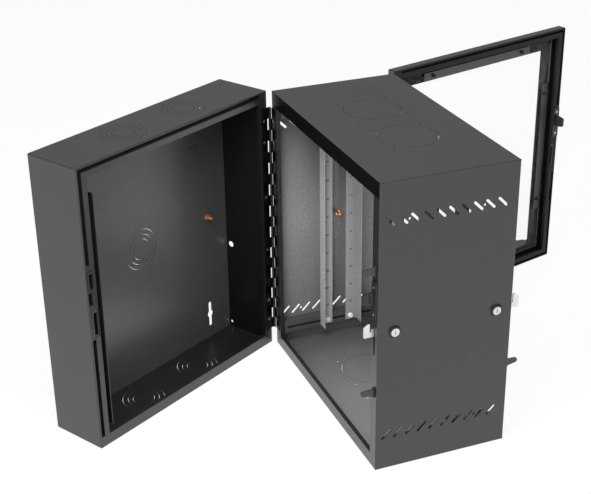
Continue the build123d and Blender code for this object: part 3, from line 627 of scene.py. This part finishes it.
def screw_mesh(name, head, shank, sizes):
    """A domed screw with a cross recess, whose head and shank each have a radius and a length."""
    head_radius, crown = head
    shank_radius, tip = shank
    body = add_object(name, turned_mesh(name, [
        (0.0, -tip), (shank_radius * TIP_RADIUS, -tip), (shank_radius, -tip * TIP_START),
        (shank_radius, 0.0), (head_radius, 0.0), (head_radius, crown * HEAD_EDGE),
        (head_radius * SHOULDER, crown * SHOULDER), (head_radius * CROWN_RADIUS, crown), (0.0, crown)]))
    depth = sizes.recess_depth * head_radius / CATCH_SCREW_HEAD[0]
    cutter = add_object(name + "_Cross", cross_mesh(name + "_Cross", head_radius, crown, depth))
    cut = body.modifiers.new("Recess", "BOOLEAN")
    cut.operation = "DIFFERENCE"
    cut.solver = "EXACT"
    cut.use_self = True
    cut.object = cutter
    bpy.context.view_layer.update()
    result = bpy.data.meshes.new_from_object(body.evaluated_get(bpy.context.evaluated_depsgraph_get()))
    for spare in (body, cutter):
        bpy.data.objects.remove(spare)
    return result


def thread_mesh(name, radius, length, pitch):
    """A rod with a helical thread, from its root at the origin along Z."""
    rows = round(length / pitch * THREAD_ROWS)
    shape = bmesh.new()
    rings = []
    for row in range(rows + 1):
        height = length * row / rows
        ring = []
        for side in range(THREAD_SIDES):
            phase = (height / pitch - side / THREAD_SIDES) % 1.0
            depth = THREAD_DEPTH * pitch * abs(2.0 * phase - 1.0)
            if row == rows:
                depth = THREAD_END * pitch
            reach = radius - depth
            angle = math.tau * side / THREAD_SIDES
            ring.append(shape.verts.new((reach * math.cos(angle), reach * math.sin(angle), height)))
        rings.append(ring)
    for low, high in zip(rings, rings[1:]):
        for side in range(THREAD_SIDES):
            after = (side + 1) % THREAD_SIDES
            shape.faces.new((low[side], low[after], high[after], high[side]))
    shape.faces.new(rings[0][::-1])
    shape.faces.new(rings[-1])
    return mesh_from(shape, name)


def stud_mesh(name, length, pitch):
    """A ground stud: threaded rod and the welded flange at its root."""
    rod = thread_mesh(name + "_Rod", STUD_RADIUS, length, pitch)
    flange = turned_mesh(name + "_Flange", [
        (0.0, 0.0), (STUD_FLANGE_RADIUS, 0.0), (STUD_FLANGE_RADIUS, STUD_FLANGE_EDGE),
        (STUD_FLANGE_RADIUS - STUD_FLANGE_BEVEL, STUD_FLANGE), (0.0, STUD_FLANGE)])
    return joined_mesh(name, (rod, flange))


def stand_in(node, body, shape, places, material):
    """Puts copies of a shape where a CAD node is, as one piece that replaces the node."""
    copies = []
    for place in places:
        copy = shape.copy()
        copy.transform(place)
        copies.append(copy)
    mesh = joined_mesh(node + "_Detail", copies)
    mesh.materials.append(material)
    piece = add_object(node + "_Detail", mesh)
    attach(piece, body)
    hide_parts(node)


def add_lamp(name, place, target, size, power):
    """A soft square lamp that neither the camera nor a reflection shows."""
    data = bpy.data.lights.new(name, "AREA")
    data.size = size
    data.energy = power
    lamp = add_object(name, data)
    lamp.location = place
    lamp.rotation_euler = (Vector(target) - Vector(place)).to_track_quat("-Z", "Y").to_euler()
    lamp.visible_camera = False
    lamp.visible_glossy = False


class CABINET_OT_stage(bpy.types.Operator):
    """Sets up the camera, the pale floor and the lamps."""

    bl_idname = "cabinet.stage"
    bl_label = "Stage"

    def execute(self, context):
        studio = context.scene.cabinet_studio
        self.camera(context, studio)
        self.world(context, studio)
        self.floor(studio)
        add_lamp("Left_Lamp", *LEFT_LAMP, studio.key)
        add_lamp("Top_Lamp", *TOP_LAMP, studio.top)
        add_lamp("Inner_Lamp", *INNER_LAMP, studio.inner)
        context.scene.view_settings.view_transform = "Standard"
        return {"FINISHED"}

    @staticmethod
    def camera(context, studio):
        data = bpy.data.cameras.new("Camera")
        data.lens = studio.camera_lens
        data.sensor_width = SENSOR_WIDTH
        data.clip_end = CAMERA_REACH
        camera = add_object("Camera", data)
        heading, dip, roll = studio.camera_heading, studio.camera_dip, studio.camera_roll
        level = math.cos(dip)
        ahead = Vector((math.sin(heading) * level, math.cos(heading) * level, -math.sin(dip)))
        right = Vector((math.cos(heading), -math.sin(heading), 0.0))
        above = right.cross(ahead)
        tilted_right = right * math.cos(roll) + above * math.sin(roll)
        tilted_above = above * math.cos(roll) - right * math.sin(roll)
        turn = Matrix((tilted_right, tilted_above, -ahead)).transposed().to_4x4()
        camera.matrix_world = Matrix.Translation(Vector(studio.camera_place)) @ turn
        context.scene.camera = camera

    @staticmethod
    def world(context, studio):
        world = bpy.data.worlds.new("Studio")
        world.use_nodes = True
        context.scene.world = world
        book = NodeBook(world.node_tree)
        seen = book.node("ShaderNodeLightPath", output="Is Camera Ray")
        passed = book.node("ShaderNodeLightPath", output="Is Transmission Ray")
        strength = (seen | passed) * (1.0 - studio.sky) + studio.sky
        sky = book.node("ShaderNodeBackground", None, {"Color": WHITE, "Strength": strength})
        book.node("ShaderNodeOutputWorld", None, {"Surface": sky})

    @staticmethod
    def floor(studio):
        mesh = bpy.data.meshes.new("Floor")
        level = cad_bounds[0][2] - studio.floor_drop
        signs = ((-1, -1), (1, -1), (1, 1), (-1, 1))
        corners = [(across * FLOOR_HALF, along * FLOOR_HALF, level) for across, along in signs]
        mesh.from_pydata(corners, [], [(0, 1, 2, 3)])
        floor = add_object("Floor", mesh)
        material, book = new_finish("Pale floor")
        seen = book.node("ShaderNodeLightPath", output="Is Camera Ray")
        glossy = book.node("ShaderNodeLightPath", output="Is Glossy Ray")
        matt = book.node("ShaderNodeBsdfDiffuse", None, {"Color": rgba(FLOOR_COLOUR)})
        glow = book.node("ShaderNodeEmission", None, {"Color": WHITE, "Strength": 1.0})
        factor = (seen | glossy) * FLOOR_GLOW
        book.close(book.node("ShaderNodeMixShader", None, {0: factor, 1: matt, 2: glow}))
        mesh.materials.append(material)


class CABINET_OT_coated_sheet(bpy.types.Operator):
    """Finishes the folded sheets of the three sections, the rails and the tracks, with painted light and
    painted shade on some faces.
    """

    bl_idname = "cabinet.coated_sheet"
    bl_label = "Coated sheet"

    def execute(self, context):
        look = context.scene.cabinet_finish
        coat = (look.coat, look.coat_roughness, look.coat_grain, COAT_SPECK)
        fine = (look.rail_roughness, look.coat_grain * FINE_GRAIN, FINE_SPECK)
        dress(nodes_that("rear_pan_") + nodes_that("centre_", "_panel") + nodes_that("guide_fingers"),
              powder_coat("Black powder coat", *coat))
        self.painted_light_sheets(look, coat)
        self.painted_shade_sheets(coat)
        dress(nodes_that("rack_rail_rear_"), powder_coat("Rail coat", look.rail_coat, *fine))
        # Painted shade: the front rails get a darker copy of the rail coat
        dress(nodes_that("rack_rail_front_"), powder_coat("Front rail coat with painted shade", look.front_rail_coat_painted_shade, *fine))
        dress(nodes_that("rail_track_"), powder_coat("Track coat", look.track_coat, *fine))
        return {"FINISHED"}

    @staticmethod
    def painted_light_sheets(look, coat):
        """The sheets with painted light on inner faces: the centre section's wall and floor, the pan's
        back.
        """
        # inner and pan are the colours of the painted light
        inner, pan = Vector(look.inner_painted_light), Vector(look.pan_back_painted_light)
        rim = CENTRE_PLACE @ (TO_WALL * REAR_RIM_INSIDE)
        limit = (CENTRE_TO_REAR, rim.dot(CENTRE_TO_REAR))
        near = (CENTRE_PLACE @ (TO_LOCKS * HALF_WIDTH)).dot(CENTRE_TO_HINGES)
        far = (CENTRE_PLACE @ (TO_HINGES * HALF_WIDTH)).dot(CENTRE_TO_HINGES)
        rows = (-PALE_HALF_HEIGHT, PALE_HALF_HEIGHT)
        # Painted light that falls off up the wall, across the floor and up the pan's back
        wall = PaintedLightFaces(-CENTRE_TO_HINGES, UP, *rows, inner, WALL_GAINS, limit)
        floor = PaintedLightFaces(UP, CENTRE_TO_HINGES, near, far, inner, FLOOR_GAINS, limit)
        back = PaintedLightFaces(TO_ROOM, UP, *rows, pan, BACK_GAINS)
        dress(["centre_hinge_side_panel"], powder_coat("Coat hinge side", *coat, pale=wall))
        dress(["centre_floor_panel"], powder_coat("Coat floor", *coat, pale=floor))
        dress(["rear_pan_back"], powder_coat("Coat pan", *coat, pale=back))

    @staticmethod
    def painted_shade_sheets(coat):
        """The sheets with painted shade on some faces: the centre section's top, the pan's hinge side, the
        door.
        """
        top = PaintedShadeFaces(CENTRE_TO_REAR, TOP_DEPTH)
        hinge_side = PaintedShadeFaces(TO_LOCKS, HINGE_SIDE_DEPTH)
        door = PaintedShadeFaces(DOOR_TO_REAR, DOOR_DEPTH)
        dress(["centre_top_panel"], powder_coat("Coat top", *coat, painted_shade=top))
        dress(["rear_pan_hinge_side"], powder_coat("Coat pan hinge side", *coat, painted_shade=hinge_side))
        dress(["door_frame"], powder_coat("Coat door", *coat, painted_shade=door))


class CABINET_OT_hinges(bpy.types.Operator):
    """Finishes the two piano hinges and their screws."""

    bl_idname = "cabinet.hinges"
    bl_label = "Piano hinges"

    def execute(self, context):
        look = context.scene.cabinet_finish
        bright = zinc("Bright hinge zinc", look.zinc, roughness=0.38)
        dress(nodes_that(end="_leaf"), zinc("Dark hinge zinc", look.dark_zinc, roughness=0.42))
        dress(["rear_hinge_pin", "front_hinge_pin"], bright)
        sizes = context.scene.cabinet_hardware
        shape = screw_mesh("Hinge_Screw", HINGE_SCREW_HEAD, HINGE_SCREW_SHANK, sizes)
        rear, front = REAR_AXIS.y, FRONT_AXIS_SHUT.y
        centre_seats = [(rear - HINGE_SEAT, TO_WALL), (front + HINGE_SEAT, TO_ROOM)]
        groups = {
            "rear_hinge_pan_screws": ("wall_pan", Matrix(), [(rear + HINGE_SEAT, TO_ROOM)]),
            "centre_hinge_screws": ("centre_section", CENTRE_PLACE, centre_seats),
            "front_hinge_door_screws": ("window_door", DOOR_PLACE, [(front - HINGE_SEAT, TO_WALL)]),
        }
        for node, (body, swing, seats) in groups.items():
            places = [swing @ facing(Vector((HINGE_SCREW_X, y, sign * row)), way)
                      for y, way in seats for row in HINGE_SCREW_ROWS for sign in (-1, 1)]
            stand_in(node, body, shape, places, bright)
        return {"FINISHED"}


class CABINET_OT_locks(bpy.types.Operator):
    """Finishes the key locks, their hooks and the strike plates."""

    bl_idname = "cabinet.locks"
    bl_label = "Locks"

    def execute(self, context):
        look = context.scene.cabinet_finish
        dress(nodes_that(end="_lock_barrel"), zinc("Lock bezel", look.bezel, roughness=0.36))
        dress(nodes_that(end="_lock_plug"), zinc("Lock face", look.lock_face, roughness=0.24))
        dress(nodes_that(end="_lock_hook") + nodes_that(end="_hook_screw") + ["lock_nuts"],
              zinc("Pale zinc", look.pale_zinc, roughness=0.34))
        dress(nodes_that(end="_strike_plate"),
              moulding("Strike coat", look.strike_coat, roughness=0.4, coat=0.2))
        return {"FINISHED"}


class CABINET_OT_catches(bpy.types.Operator):
    """Finishes the moulded snap catches and their sockets."""

    bl_idname = "cabinet.catches"
    bl_label = "Snap catches"

    def execute(self, context):
        look = context.scene.cabinet_finish
        dress(["rear_catch", "door_catch"] + nodes_that(end="_catch_socket"),
              moulding("Black moulding", look.plastic, roughness=0.42, coat=0.0))
        bright = zinc("Screw zinc", look.zinc, roughness=0.3)
        sizes = context.scene.cabinet_hardware
        shape = screw_mesh("Catch_Screw", CATCH_SCREW_HEAD, CATCH_SCREW_SHANK, sizes)
        for node, body, swing, seat in (
                ("rear_catch_screws", "centre_section", CENTRE_PLACE, REAR_CATCH_SEAT),
                ("door_catch_screws", "window_door", DOOR_PLACE, DOOR_CATCH_SEAT)):
            places = [swing @ facing(Vector((CATCH_SCREW_X, seat, row)), TO_WALL)
                      for row in CATCH_SCREW_ROWS]
            stand_in(node, body, shape, places, bright)
        return {"FINISHED"}


class CABINET_OT_window(bpy.types.Operator):
    """Finishes the clear pane, its clamp strips and their studs."""

    bl_idname = "cabinet.window"
    bl_label = "Window"

    def execute(self, context):
        look = context.scene.cabinet_finish
        clamp = (look.clamp_coat, look.clamp_roughness, look.coat_grain, CLAMP_SPECK)
        dress(["window_pane"], clear_sheet("Clear pane", look.pane, look.pane_clearness))
        dress(nodes_that("window_clamp"), powder_coat("Clamp strip coat", *clamp))
        dress(["window_nuts"], moulding("Window nut black", look.plastic, roughness=0.4, coat=0.2))
        pitch = context.scene.cabinet_hardware.thread_pitch
        rod = thread_mesh("Window_Stud", WINDOW_STUD_RADIUS, WINDOW_STUD_LENGTH, pitch)
        level_bars, upright_bars = (WINDOW_STUD_ROW, WINDOW_STUD_Z), (WINDOW_STUD_X, WINDOW_STUD_ROW)
        places = [DOOR_PLACE @ facing(Vector((x, WINDOW_STUD_ROOT, z)), TO_WALL)
                  for far_x, far_z in (level_bars, upright_bars)
                  for x in (-far_x, far_x) for z in (-far_z, far_z)]
        dark = zinc("Window stud zinc", look.dark_zinc, roughness=0.4)
        stand_in("window_studs", "window_door", rod, places, dark)
        return {"FINISHED"}


class CABINET_OT_fasteners(bpy.types.Operator):
    """Finishes the rail bolts and the ground studs."""

    bl_idname = "cabinet.fasteners"
    bl_label = "Fasteners"

    def execute(self, context):
        look = context.scene.cabinet_finish
        dress(["rail_bolts"], moulding("Bolt white", look.bolt, roughness=0.35, coat=0.3))
        dress(["rail_nuts"], zinc("Bolt zinc", look.zinc, roughness=0.3))
        copper = zinc("Copper", look.copper, roughness=0.2, metallic=0.85)
        dress(nodes_that(end="_ground_nut") + nodes_that(end="_ground_stud"), copper)
        pitch = context.scene.cabinet_hardware.thread_pitch
        pan_stud = stud_mesh("Pan_Stud", STUD_LENGTH - SHEET, pitch)
        pan_place = facing(Vector((STUD_X, -SHEET, 0.0)), TO_ROOM)
        stand_in("pan_ground_stud", "wall_pan", pan_stud, [pan_place], copper)
        centre_stud = stud_mesh("Centre_Stud", STUD_LENGTH, pitch)
        wall = Vector((HALF_WIDTH - SHEET, CENTRE_STUD_Y, 0.0))
        centre_place = CENTRE_PLACE @ facing(wall, TO_LOCKS)
        stand_in("centre_ground_stud", "centre_section", centre_stud, [centre_place], copper)
        return {"FINISHED"}


class CABINET_PT_panel(bpy.types.Panel):
    """Lists the steps that finish the cabinet."""

    bl_idname = "CABINET_PT_panel"
    bl_label = "Cabinet"
    bl_space_type = "VIEW_3D"
    bl_region_type = "UI"
    bl_category = "Cabinet"

    def draw(self, context):
        for operator in OPERATORS:
            self.layout.operator(operator.bl_idname)
        for group in GROUPS:
            box = self.layout.box()
            settings = getattr(context.scene, group)
            for name in settings.__annotations__:
                box.prop(settings, name)


GROUPS = {
    "cabinet_finish": CabinetFinish,
    "cabinet_hardware": CabinetHardware,
    "cabinet_studio": CabinetStudio,
}
OPERATORS = (
    CABINET_OT_stage,
    CABINET_OT_coated_sheet,
    CABINET_OT_hinges,
    CABINET_OT_locks,
    CABINET_OT_catches,
    CABINET_OT_window,
    CABINET_OT_fasteners,
)


def register():
    for made in (*GROUPS.values(), *OPERATORS, CABINET_PT_panel):
        bpy.utils.register_class(made)
    for name, group in GROUPS.items():
        setattr(bpy.types.Scene, name, bpy.props.PointerProperty(type=group))


def unregister():
    for name in GROUPS:
        delattr(bpy.types.Scene, name)
    for made in (CABINET_PT_panel, *reversed(OPERATORS), *reversed(GROUPS.values())):
        bpy.utils.unregister_class(made)


def main():
    register()
    for operator in OPERATORS:
        group, name = operator.bl_idname.split(".")
        getattr(getattr(bpy.ops, group), name)()


if __name__ == "__main__":
    main()
